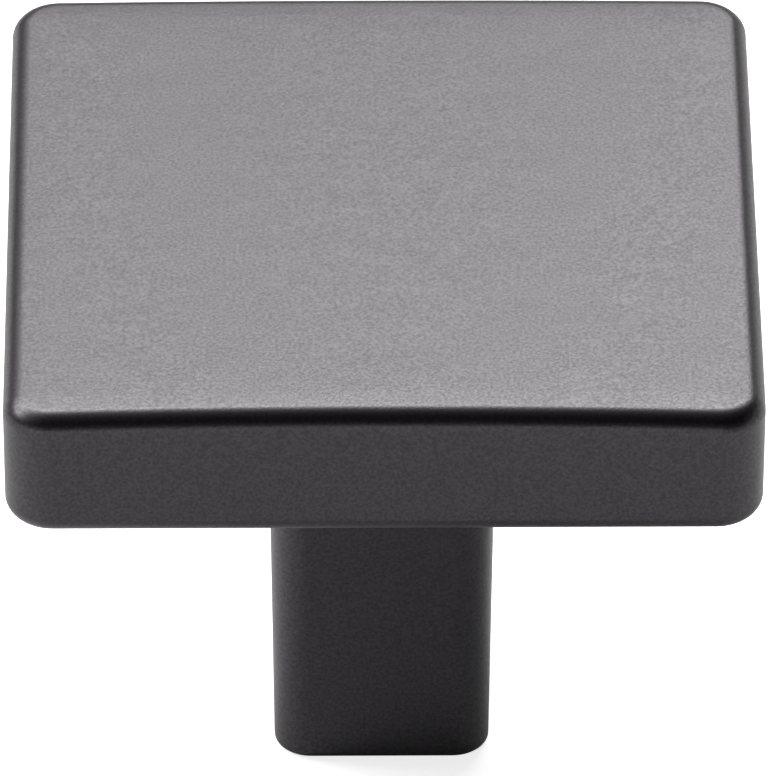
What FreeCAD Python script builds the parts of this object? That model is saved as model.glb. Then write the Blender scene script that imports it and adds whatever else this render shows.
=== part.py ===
import FreeCAD, Part
import math
import os

# Cabinet knob, one zinc die casting: a square head with a slightly crowned face on a square post
# that narrows towards its foot, where a blind hole is tapped for the screw that comes through the
# door. Millimetres. The origin is the centre of the foot, +Z runs up the post to the head, and the
# sides of the head and the post face along X and Y.

# Head
head_width = 30.0            # across the flats, at the level where the sides are widest
head_thickness = 5.85        # from the underside to the middle of the face
head_corner_radius = 1.9     # the four upright corners
head_draft_deg = 0.4         # the sides lean in towards the underside, so that the casting leaves its mould
face_crown = 0.28            # the middle of the face stands this much above its corners
face_edge_radius = 0.72      # round edge between the face and the sides
underside_edge_radius = 0.8  # round edge between the sides and the underside

# Post
post_height = 18.9           # from the foot to the underside of the head
foot_width = 8.75            # across the flats at the foot
post_draft_deg = 0.75        # the post widens towards the head, each side by this angle
post_corner_radius = 1.5     # the four upright corners
foot_edge_radius = 0.3       # broken edge round the foot
neck_radius = 1.0            # inside curve where the post runs into the underside

# Tapped hole in the foot, for an M4 screw
tap_drill_diameter = 3.3     # bore before the thread is cut
thread_depth = 13.0          # length that takes the screw, from the foot
drill_runout = 1.5           # plain bore past the last full thread
drill_point_deg = 118.0      # angle of the drill's point, which shapes the hole's blind end
mouth_diameter = 4.5         # countersink at the mouth, a little over the screw's own diameter
mouth_angle_deg = 90.0

knob_height = post_height + head_thickness


def drafted_square(low_width, low_z, high_z, draft_deg, corner_radius):
    # Square block that widens upwards by the draft angle on each side, with its upright corners rounded
    low = low_width / 2
    high = low + (high_z - low_z) * math.tan(math.radians(draft_deg))
    block = Part.makeWedge(-low, low_z, -low, -high, -high, low, high_z, low, high, high)
    # The wedge grows along Y, so it is stood up
    block.rotate(FreeCAD.Vector(0, 0, 0), FreeCAD.Vector(1, 0, 0), 90)
    middle_z = (low_z + high_z) / 2
    uprights = [edge for edge in block.Edges if edge.BoundBox.ZMin < middle_z < edge.BoundBox.ZMax]
    return block.makeFillet(corner_radius, uprights)


def crown_ball():
    # The face is a patch of a large ball that touches the knob's top in the middle and lies face_crown
    # lower at the corners of the square. Turned this way, the ball has its poles and seam off the patch.
    corner_reach = head_width / math.sqrt(2)
    ball_radius = (corner_reach ** 2 + face_crown ** 2) / (2 * face_crown)
    centre = FreeCAD.Vector(0, 0, knob_height - ball_radius)
    return Part.makeSphere(ball_radius, centre, FreeCAD.Vector(0, -1, 0))


def middle_height(side):
    return side.CenterOfMass.z


def make_head():
    # The sides reach their full width just under the round edge of the face
    widest_z = knob_height - face_edge_radius
    underside_width = head_width - 2 * (widest_z - post_height) * math.tan(math.radians(head_draft_deg))
    block = drafted_square(underside_width, post_height, knob_height + face_crown, head_draft_deg,
                           head_corner_radius)
    head = block.common(crown_ball())
    face = max(head.Faces, key=middle_height)
    head = head.makeFillet(face_edge_radius, face.OuterWire.Edges)
    underside = min(head.Faces, key=middle_height)
    return head.makeFillet(underside_edge_radius, underside.OuterWire.Edges)


def make_post():
    post = drafted_square(foot_width, 0, post_height, post_draft_deg, post_corner_radius)
    foot = min(post.Faces, key=middle_height)
    return post.makeFillet(foot_edge_radius, foot.OuterWire.Edges)


def join_at_neck(head, post):
    # The underside is now the one face with an inner outline, where the post leaves it, and the
    # neck's curve runs round that outline
    knob = head.fuse(post)
    underside = next(side for side in knob.Faces if len(side.Wires) == 2)
    seam = next(wire for wire in underside.Wires if not wire.isSame(underside.OuterWire))
    return knob.makeFillet(neck_radius, seam.Edges)


def tapped_hole():
    # One half section of the hole, from the mouth's countersink to the drill's point, turned about Z
    bore_radius = tap_drill_diameter / 2
    mouth_radius = mouth_diameter / 2
    mouth_depth = (mouth_radius - bore_radius) / math.tan(math.radians(mouth_angle_deg / 2))
    bore_end = thread_depth + drill_runout
    point_depth = bore_radius / math.tan(math.radians(drill_point_deg / 2))
    section = [(0, 0), (mouth_radius, 0), (bore_radius, mouth_depth), (bore_radius, bore_end),
               (0, bore_end + point_depth), (0, 0)]
    outline = Part.makePolygon([FreeCAD.Vector(r, 0, z) for r, z in section])
    return Part.Face(outline).revolve(FreeCAD.Vector(0, 0, 0), FreeCAD.Vector(0, 0, 1), 360)


def make_knob():
    knob = join_at_neck(make_head(), make_post()).cut(tapped_hole())
    return knob.Solids[0]


os.makedirs("parts", exist_ok=True)
make_knob().exportStep("parts/knob.step")
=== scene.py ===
import bmesh
import bpy
import math
from mathutils import Matrix, Vector


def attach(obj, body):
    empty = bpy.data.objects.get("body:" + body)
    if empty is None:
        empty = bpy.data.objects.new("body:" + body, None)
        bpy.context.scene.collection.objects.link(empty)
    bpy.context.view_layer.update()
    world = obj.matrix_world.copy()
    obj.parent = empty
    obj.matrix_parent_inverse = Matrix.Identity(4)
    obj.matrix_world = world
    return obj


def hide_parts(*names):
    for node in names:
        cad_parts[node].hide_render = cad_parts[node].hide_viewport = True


# Cabinet knob, one zinc die casting: a square head with a slightly crowned face on a square post,
# powder-coated matt black, with a tapped hole in the foot. The middle of the foot is at the origin,
# +Z runs up the post to the head, and the camera looks from -Y.

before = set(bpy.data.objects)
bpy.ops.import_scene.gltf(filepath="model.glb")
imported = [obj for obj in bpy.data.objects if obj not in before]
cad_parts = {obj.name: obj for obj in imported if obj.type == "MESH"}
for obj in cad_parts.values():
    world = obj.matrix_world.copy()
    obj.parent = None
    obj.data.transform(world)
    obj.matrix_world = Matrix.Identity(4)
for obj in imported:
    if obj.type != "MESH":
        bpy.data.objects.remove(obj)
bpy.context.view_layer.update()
mm = 0.001  # the knob is modelled in millimetres and brought to metres once it is whole


# Helpers

def linear(hexColour):  # sRGB "#rrggbb" to the linear colour that Blender works in
    levels = [int(hexColour[i:i + 2], 16) / 255 for i in (1, 3, 5)]
    return [c / 12.92 if c <= 0.04045 else ((c + 0.055) / 1.055) ** 2.4 for c in levels] + [1.0]


def addNode(tree, kind, settings=None, links=None):
    node = tree.nodes.new(kind)
    for name, value in (settings or {}).items():  # the node's options, and its sockets' values
        if isinstance(name, str) and hasattr(node, name):
            setattr(node, name, value)
        else:
            node.inputs[name].default_value = value
    for name, source in (links or {}).items():
        tree.links.new(source, node.inputs[name])
    return node


def newMaterial(name):
    material = bpy.data.materials.new(name)
    material.use_nodes = True
    material.node_tree.nodes.clear()
    return material, material.node_tree


def addObject(name, data):
    item = bpy.data.objects.new(name, data)
    bpy.context.scene.collection.objects.link(item)
    return item


def meshObject(name, shape):  # uses up a bmesh
    data = bpy.data.meshes.new(name)
    shape.to_mesh(data)
    shape.free()
    return addObject(name, data)


# Camera: long lens, from the front and 35 degrees above

cameraView = {
    "place": (-3.8435, -437.5461, 324.5957),  # millimetres from the middle of the foot
    "turn": (54.75861, -0.09462, -0.44966),  # degrees
    "lens": 614.226,  # millimetres, as the sensor's width
    "sensor": 36.0,
    "nearest": 0.01,  # metres, the range in which it sees
    "farthest": 50.0,
}

camera = addObject("camera", bpy.data.cameras.new("camera"))
camera.location = Vector(cameraView["place"]) * mm
camera.rotation_euler = [math.radians(angle) for angle in cameraView["turn"]]
camera.data.lens = cameraView["lens"]
camera.data.sensor_width = cameraView["sensor"]
camera.data.clip_start = cameraView["nearest"]
camera.data.clip_end = cameraView["farthest"]
bpy.context.scene.camera = camera
bpy.context.scene.view_settings.view_transform = "Standard"
print("camera set")


# Materials

coat = {  # black powder coat, matt
    "grain": 0.13,  # millimetres across one speck of the powder, drawn coarse enough to show
    "grainDetail": 1.5,
    "grainHeight": 0.0045,  # millimetres
    "peel": 1.6,  # millimetres across one soft wave of the fused film
    "peelDetail": 1.0,
    "peelHeight": 0.013,
    "noiseSpan": (0.3, 0.7),  # nearly all of the noise lies between these
    "dark": "#080508",  # colour of the specks, from dark to light
    "light": "#0e0a0e",
    "gloss": "#fff9ff",  # the reflections have a trace of violet
    "ior": 1.58,
    "roughness": 0.38,
    "roughnessSpread": 0.05,  # from the smoothest speck to the roughest
    "shine": 0.5,  # specular level, which is neutral at 0.5
    "shineSpread": 0.21,  # from the dullest speck to the brightest
}


def powderCoat():  # polyester powder baked on zinc: a fine even grain that breaks up the gloss
    material, tree = newMaterial("black_powder_coat")
    place = addNode(tree, "ShaderNodeTexCoord").outputs["Object"]
    grain = addNode(tree, "ShaderNodeTexNoise",
                    {"Scale": 1 / (coat["grain"] * mm), "Detail": coat["grainDetail"]},
                    {"Vector": place}).outputs["Fac"]
    peel = addNode(tree, "ShaderNodeTexNoise",
                   {"Scale": 1 / (coat["peel"] * mm), "Detail": coat["peelDetail"]},
                   {"Vector": place}).outputs["Fac"]
    waves = addNode(tree, "ShaderNodeBump",
                    {"Strength": 1.0, "Distance": coat["peelHeight"] * mm}, {"Height": peel})
    bumps = addNode(tree, "ShaderNodeBump",
                    {"Strength": 1.0, "Distance": coat["grainHeight"] * mm},
                    {"Height": grain, "Normal": waves.outputs["Normal"]})
    # A raised speck is smoother, shinier and a little paler than the hollows round it
    low, high = coat["noiseSpan"]
    roughHalf, shineHalf = coat["roughnessSpread"] / 2, coat["shineSpread"] / 2
    dull = addNode(tree, "ShaderNodeMapRange",
                   {"From Min": low, "To Min": coat["roughness"] + roughHalf,
                    "From Max": high, "To Max": coat["roughness"] - roughHalf},
                   {"Value": grain})
    shine = addNode(tree, "ShaderNodeMapRange",
                    {"From Min": low, "To Min": coat["shine"] - shineHalf,
                     "From Max": high, "To Max": coat["shine"] + shineHalf},
                    {"Value": grain})
    colour = addNode(tree, "ShaderNodeMix",  # its sockets 6 and 7 are the two colours that it mixes
                     {"data_type": "RGBA", 6: linear(coat["dark"]), 7: linear(coat["light"])},
                     {0: grain})
    shader = addNode(tree, "ShaderNodeBsdfPrincipled",
                     {"IOR": coat["ior"], "Specular Tint": linear(coat["gloss"])},
                     {"Base Color": colour.outputs[2], "Roughness": dull.outputs["Result"],
                      "Specular IOR Level": shine.outputs["Result"],
                      "Normal": bumps.outputs["Normal"]})
    addNode(tree, "ShaderNodeOutputMaterial", links={"Surface": shader.outputs["BSDF"]})
    return material


zinc = {  # die-cast zinc alloy, bare where the tap has cut it
    "colour": "#b9b8b3",
    "smoothest": 0.27,  # roughness, which changes from ring to ring
    "roughest": 0.40,
    "ringSpacing": 0.1885,  # millimetres between the tool's rings, drawn coarse enough to show
    "ringHeight": 0.0015,
    "ringWander": 0.6,  # how far the rings stray from even circles
}


def cutZinc():  # freshly cut metal: pale, with fine rings round the hole
    material, tree = newMaterial("cut_zinc")
    place = addNode(tree, "ShaderNodeTexCoord").outputs["Object"]
    ringScale = math.pi / 10 / (zinc["ringSpacing"] * mm)  # a wave of scale 1 is pi / 10 long
    rings = addNode(tree, "ShaderNodeTexWave",
                    {"wave_type": "BANDS", "bands_direction": "Z", "Scale": ringScale,
                     "Distortion": zinc["ringWander"]},
                    {"Vector": place}).outputs["Fac"]
    marks = addNode(tree, "ShaderNodeBump",
                    {"Strength": 1.0, "Distance": zinc["ringHeight"] * mm}, {"Height": rings})
    dull = addNode(tree, "ShaderNodeMapRange",
                   {"To Min": zinc["smoothest"], "To Max": zinc["roughest"]}, {"Value": rings})
    shader = addNode(tree, "ShaderNodeBsdfPrincipled",
                     {"Base Color": linear(zinc["colour"]), "Metallic": 1.0},
                     {"Roughness": dull.outputs["Result"], "Normal": marks.outputs["Normal"]})
    addNode(tree, "ShaderNodeOutputMaterial", links={"Surface": shader.outputs["BSDF"]})
    return material


knobMaterials = [powderCoat(), cutZinc()]
print("materials made")


# Knob: square head on a square post, one casting. Sizes in millimetres, the CAD's own but for the
# face, whose crown and round edge follow the photo's highlights more closely.

head = {
    "width": 30.0,  # where the sides are widest, just under the round edge of the face
    "top": 24.75,
    "underside": 18.9,
    "draft": 0.4,  # degrees
    "cornerRadius": 1.9,
    "crownAcross": 0.19,  # fall of the face from its middle to its left and right edges
    "crownFront": 0.45,  # share by which that is more at the front corners, less at the back ones
    "crownAlong": 0.02,  # fall of the face to its front and back edges
    "faceEdge": 0.8,
    "faceRoll": 0.055,  # the face rolls over by this much on its way to the sides
    "faceRollReach": 2.6,  # from the sides inwards
    "undersideEdge": 0.8,
}
post = {
    "footWidth": 8.75,
    "draft": 0.75,  # degrees
    "cornerRadius": 1.5,
    "footEdge": 0.3,
    "neck": 1.0,  # inside curve where the post runs into the head
}
fineness = {
    "corner": 14,  # faces round each upright corner, the same on head and post so that they join
    "side": 12,  # cuts along each flat side, which lets the crown bend it
    "roundEdge": 14,
    "footEdge": 7,
    "rollStrip": 1.0,  # millimetres, a strip of finer rings beside the face's round edge
    "roll": 5,  # rings across that strip
    "face": 12,  # rings from the strip to the middle
    "sharpAngle": 35,  # degrees, from which an edge is shown as sharp
    "slack": 0.001,  # millimetres, smaller than any form, within which points count as one
}


def roundOff(mesh, edges, radius, segments):
    bmesh.ops.bevel(mesh, geom=edges, offset=radius, offset_type="OFFSET", affect="EDGES",
                    segments=segments, profile=0.5, material=-1)  # profile 0.5 is an arc


def isUpright(edge):
    return abs(edge.verts[0].co.z - edge.verts[1].co.z) > edge.calc_length() / 2


def draftedBlock(lowWidth, lowZ, highZ, draft, cornerRadius):
    highWidth = lowWidth + 2 * (highZ - lowZ) * math.tan(math.radians(draft))
    block = bmesh.new()
    bmesh.ops.create_cube(block, size=1)
    bmesh.ops.scale(block, vec=(highWidth, highWidth, highZ - lowZ), verts=block.verts)
    bmesh.ops.translate(block, vec=(0, 0, (highZ + lowZ) / 2), verts=block.verts)
    low = [v for v in block.verts if v.co.z < (lowZ + highZ) / 2]
    bmesh.ops.scale(block, vec=(lowWidth / highWidth, lowWidth / highWidth, 1), verts=low)
    roundOff(block, [e for e in block.edges if isUpright(e)], cornerRadius, fineness["corner"])
    # The level edges get cuts, but not the short ones round the corners
    sides = [e for e in block.edges if e.calc_length() > cornerRadius * 2 and not isUpright(e)]
    bmesh.ops.subdivide_edges(block, edges=sides, cuts=fineness["side"])
    return block


def middleZ(face):
    return face.calc_center_median().z


def topFace(mesh):
    return max(mesh.faces, key=middleZ)


def bottomFace(mesh):
    return min(mesh.faces, key=middleZ)


def openUp(mesh, face):
    bmesh.ops.delete(mesh, geom=[face], context="FACES_ONLY")


def extrudeRim(mesh, rim):  # gives the new edges and points
    grown = bmesh.ops.extrude_edge_only(mesh, edges=rim)["geom"]
    return ([g for g in grown if isinstance(g, bmesh.types.BMEdge)],
            [g for g in grown if isinstance(g, bmesh.types.BMVert)])


def openEdges(mesh, middle, reach):  # the boundary's edges within reach of a height
    return [e for e in mesh.edges if e.is_boundary
            and all(abs(v.co.z - middle) < reach for v in e.verts)]


def ringFace(mesh):  # rebuilds the face as rings that shrink to its middle, for the crown
    face = topFace(mesh)
    for _ in range(fineness["roll"]):
        bmesh.ops.inset_individual(mesh, faces=[face], use_even_offset=True,
                                   thickness=fineness["rollStrip"] / fineness["roll"])
    rim = face.edges[:]
    openUp(mesh, face)
    for ring in range(fineness["face"], 0, -1):
        rim, points = extrudeRim(mesh, rim)
        if ring > 1:
            shrink = (ring - 1) / ring
            bmesh.ops.scale(mesh, vec=(shrink, shrink, 1), verts=points)
        else:
            bmesh.ops.pointmerge(mesh, verts=points, merge_co=(0, 0, head["top"]))


def fromSides(x, y):  # distance inwards from the head's upright sides
    flat = head["width"] / 2 - head["cornerRadius"]
    over = Vector((max(abs(x) - flat, 0), max(abs(y) - flat, 0)))
    if over.length > 0:
        return head["cornerRadius"] - over.length
    return head["width"] / 2 - max(abs(x), abs(y))


def crownFace(mesh, fromZ):
    half = head["width"] / 2
    for v in mesh.verts:
        if v.co.z > fromZ:
            roll = max(0, 1 - fromSides(v.co.x, v.co.y) / head["faceRollReach"])
            across, along = v.co.x / half, v.co.y / half
            v.co.z -= head["faceRoll"] * roll ** 2
            v.co.z -= head["crownAcross"] * across ** 2 * (1 - head["crownFront"] * along)
            v.co.z -= head["crownAlong"] * along ** 2


def crownedHead():
    widest = head["top"] - head["faceEdge"]
    draftIn = (widest - head["underside"]) * math.tan(math.radians(head["draft"]))
    mesh = draftedBlock(head["width"] - 2 * draftIn, head["underside"], head["top"], head["draft"],
                        head["cornerRadius"])
    roundOff(mesh, topFace(mesh).edges[:], head["faceEdge"], fineness["roundEdge"])
    roundOff(mesh, bottomFace(mesh).edges[:], head["undersideEdge"], fineness["roundEdge"])
    ringFace(mesh)
    crownFace(mesh, widest - fineness["slack"])
    openUp(mesh, bottomFace(mesh))
    return mesh


def draftedPost():
    mesh = draftedBlock(post["footWidth"], 0, head["underside"], post["draft"],
                        post["cornerRadius"])
    roundOff(mesh, bottomFace(mesh).edges[:], post["footEdge"], fineness["footEdge"])
    openUp(mesh, topFace(mesh))
    return mesh


def addTo(mesh, other):  # moves the shape in other into mesh
    carrier = bpy.data.meshes.new("carrier")
    other.to_mesh(carrier)
    other.free()
    mesh.from_mesh(carrier)
    bpy.data.meshes.remove(carrier)


def knobBody():  # head and post joined across the underside, with the neck's curve along the seam
    mesh = crownedHead()
    addTo(mesh, draftedPost())
    rims = openEdges(mesh, head["underside"], post["neck"] / 2)
    # The seam is the post's own rim, well inside the head's
    seam = [e for e in rims if max(abs(c) for v in e.verts for c in v.co.xy) < post["footWidth"]]
    bmesh.ops.bridge_loops(mesh, edges=rims)
    roundOff(mesh, seam, post["neck"], fineness["roundEdge"])
    bmesh.ops.recalc_face_normals(mesh, faces=mesh.faces)
    return mesh


hole = {
    "drill": 1.65,  # radius before the thread is cut
    "depth": 14.5,  # to the end of the full bore
    "pointAngle": 118,  # degrees
    "mouth": 2.25,  # radius of the countersink at the foot
    "below": 1.0,  # how far below the foot the drill starts
    "pitch": 0.7,  # M4 coarse thread, right-handed
    "threadDepth": 13.0,
    "root": 2.0,  # radius at the bottom of the groove
    "rootFlat": 0.0875,
    "flankAngle": 30,  # degrees each side
    "flankStart": 1.5,  # radius where the tap's flanks start, inside the bore
    "tapTurns": 22,  # turns of the groove on the tap, enough to pass the thread's end
    "turnsBelow": 2,  # how many of them lie below the foot
    "taper": 0.247,  # share by which the tap narrows for each millimetre past the thread
    "steps": 56,  # faces round the hole
}


def turned(section, steps, rise=0):  # a half section turned about the post's axis, or wound up it
    mesh = bmesh.new()
    points = [mesh.verts.new((r, 0, z)) for r, z in section]
    edges = [mesh.edges.new(pair) for pair in zip(points, points[1:])]
    bmesh.ops.spin(mesh, geom=points + edges, cent=(0, 0, 0), axis=(0, 0, 1), angle=math.tau,
                   steps=steps, dvec=(0, 0, rise / steps), use_merge=rise == 0)
    bmesh.ops.remove_doubles(mesh, verts=mesh.verts, dist=fineness["slack"])
    return mesh


def drillTool():  # a 90 degree countersink, the bore and the drill's point, in one cut
    drill, mouth, below = hole["drill"], hole["mouth"], hole["below"]
    point = drill / math.tan(math.radians(hole["pointAngle"] / 2))
    section = [(0, -below), (mouth + below, -below), (drill, mouth - drill),
               (drill, hole["depth"]), (0, hole["depth"] + point)]
    return turned(section, hole["steps"])


def tapTool():  # only the groove: its flanks start inside the bore, and its taper lets it run out
    pitch, inside, root = hole["pitch"], hole["flankStart"], hole["root"]
    flank = (root - inside) * math.tan(math.radians(hole["flankAngle"]))
    gap = (pitch - hole["rootFlat"] - 2 * flank) / 2
    section = []
    for turn in range(hole["tapTurns"]):
        z = (turn - hole["turnsBelow"]) * pitch
        section += [(inside, z + gap), (root, z + gap + flank),
                    (root, z + gap + flank + hole["rootFlat"]), (inside, z + pitch - gap)]
    section.append((inside, section[-1][1] + 2 * gap))
    mesh = turned(section, hole["steps"], pitch)
    for end in (section[0][1], section[-1][1] - gap):  # each end of the tap is closed to a point
        rim = openEdges(mesh, end + pitch / 2, pitch / 2 + gap)
        points = extrudeRim(mesh, rim)[1]
        bmesh.ops.pointmerge(mesh, verts=points, merge_co=(0, 0, end))
    for v in mesh.verts:
        v.co.xy *= 1 - hole["taper"] * max(0, v.co.z - hole["threadDepth"])
    return mesh


def cutHole(knob, tool):
    bmesh.ops.recalc_face_normals(tool, faces=tool.faces)
    cutter = meshObject("tool", tool)
    cut = knob.modifiers.new("hole", "BOOLEAN")
    cut.operation = "DIFFERENCE"
    cut.solver = "EXACT"
    cut.object = cutter
    solid = knob.evaluated_get(bpy.context.evaluated_depsgraph_get())
    mesh = bpy.data.meshes.new_from_object(solid)
    knob.modifiers.clear()
    knob.data = mesh
    bpy.data.objects.remove(cutter)


def inHole(point):
    pastEnd = hole["depth"] + hole["drill"]  # deeper than the drill's point
    return fineness["slack"] < point.z < pastEnd and point.xy.length < hole["mouth"]


def makeKnob():
    knob = meshObject("cabinet_knob", knobBody())
    cutHole(knob, drillTool())
    cutHole(knob, tapTool())
    knob.data.name = "cabinet_knob"
    knob.data.materials.clear()
    for material in knobMaterials:
        knob.data.materials.append(material)
    for side in knob.data.polygons:
        side.material_index = 1 if inHole(side.center) else 0
        side.use_smooth = True
    knob.data.set_sharp_from_angle(angle=math.radians(fineness["sharpAngle"]))
    knob.data.transform(Matrix.Scale(mm, 4))
    even = knob.modifiers.new("even", "WEIGHTED_NORMAL")  # keeps flats flat beside the round edges
    even.mode = "FACE_AREA"
    even.keep_sharp = True
    return knob


knob = makeKnob()
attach(knob, "root")
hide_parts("knob")
print("knob made,", len(knob.data.polygons), "faces")


# Studio: white floor, a large softbox behind and above, and two faint low ones, in front and at
# the right. Lengths in metres.

studio = {
    "floorColour": "#f3f3f3",
    "floorRadius": 6.0,
    "floorSides": 64,
    "floorDrop": 0.00001,  # keeps it just clear of the foot
    "floorLift": 0.79,  # how far the camera sees it lifted towards white, with a faint shadow left
    "floorLiftMirrored": 0.05,  # the same in reflections, where more would make the post too pale
    "surroundings": "#030303",
    "lightDistance": 1.4,
    "softboxes": {  # turn is from straight behind the knob, clockwise as seen from above
        "key": {"turn": -30.0, "rise": 48.0, "size": (3.0, 0.44), "radiance": 12.9, "tilt": -6.0},
        "fill": {"turn": -150.0, "rise": 4.0, "size": (2.9, 0.20), "radiance": 3.6, "tilt": 0.0},
        "rim": {"turn": 60.0, "rise": 10.0, "size": (2.35, 0.39), "radiance": 0.7, "tilt": 0.0},
    },
}


def whiteFloor():  # white paper that glows for the camera, and faintly in reflections
    material, tree = newMaterial("floor_white")
    rays = addNode(tree, "ShaderNodeLightPath")
    mirrored = addNode(tree, "ShaderNodeMath", {"operation": "MAXIMUM"},
                       {0: rays.outputs["Is Glossy Ray"], 1: rays.outputs["Is Transmission Ray"]})
    faint = addNode(tree, "ShaderNodeMath",
                    {"operation": "MULTIPLY", 1: studio["floorLiftMirrored"]},
                    {0: mirrored.outputs["Value"]})
    lift = addNode(tree, "ShaderNodeMath", {"operation": "MULTIPLY_ADD", 1: studio["floorLift"]},
                   {0: rays.outputs["Is Camera Ray"], 2: faint.outputs["Value"]})
    paper = addNode(tree, "ShaderNodeBsdfDiffuse", {"Color": linear(studio["floorColour"])})
    glow = addNode(tree, "ShaderNodeEmission", {"Color": linear("#ffffff")},
                   {"Strength": lift.outputs["Value"]})
    both = addNode(tree, "ShaderNodeAddShader",
                   links={0: paper.outputs["BSDF"], 1: glow.outputs["Emission"]})
    addNode(tree, "ShaderNodeOutputMaterial", links={"Surface": both.outputs["Shader"]})
    return material


def addFloor():
    sheet = bmesh.new()
    bmesh.ops.create_circle(sheet, cap_ends=True, segments=studio["floorSides"],
                            radius=studio["floorRadius"])
    bmesh.ops.translate(sheet, vec=(0, 0, -studio["floorDrop"]), verts=sheet.verts)
    floor = meshObject("floor", sheet)
    floor.data.materials.append(whiteFloor())


def addSoftbox(name, lamp):  # faces the origin
    light = bpy.data.lights.new(name, "AREA")
    light.shape = "RECTANGLE"
    light.size, light.size_y = lamp["size"]
    light.energy = lamp["radiance"] * math.pi * light.size * light.size_y
    box = addObject(name, light)
    turn, rise = math.radians(lamp["turn"]), math.radians(lamp["rise"])
    level = math.cos(rise)
    away = Vector((level * math.sin(turn), level * math.cos(turn), math.sin(rise)))
    box.location = away * studio["lightDistance"]
    tilt = Matrix.Rotation(math.radians(lamp["tilt"]), 3, "Z")
    box.rotation_euler = (away.to_track_quat("Z", "Y").to_matrix() @ tilt).to_euler()
    box.visible_camera = False


def setWorld():
    world = bpy.data.worlds.new("studio")
    world.use_nodes = True
    background = world.node_tree.nodes["Background"]
    background.inputs["Color"].default_value = linear(studio["surroundings"])
    bpy.context.scene.world = world


addFloor()
for name, lamp in studio["softboxes"].items():
    addSoftbox(name, lamp)
setWorld()
print("studio lit")
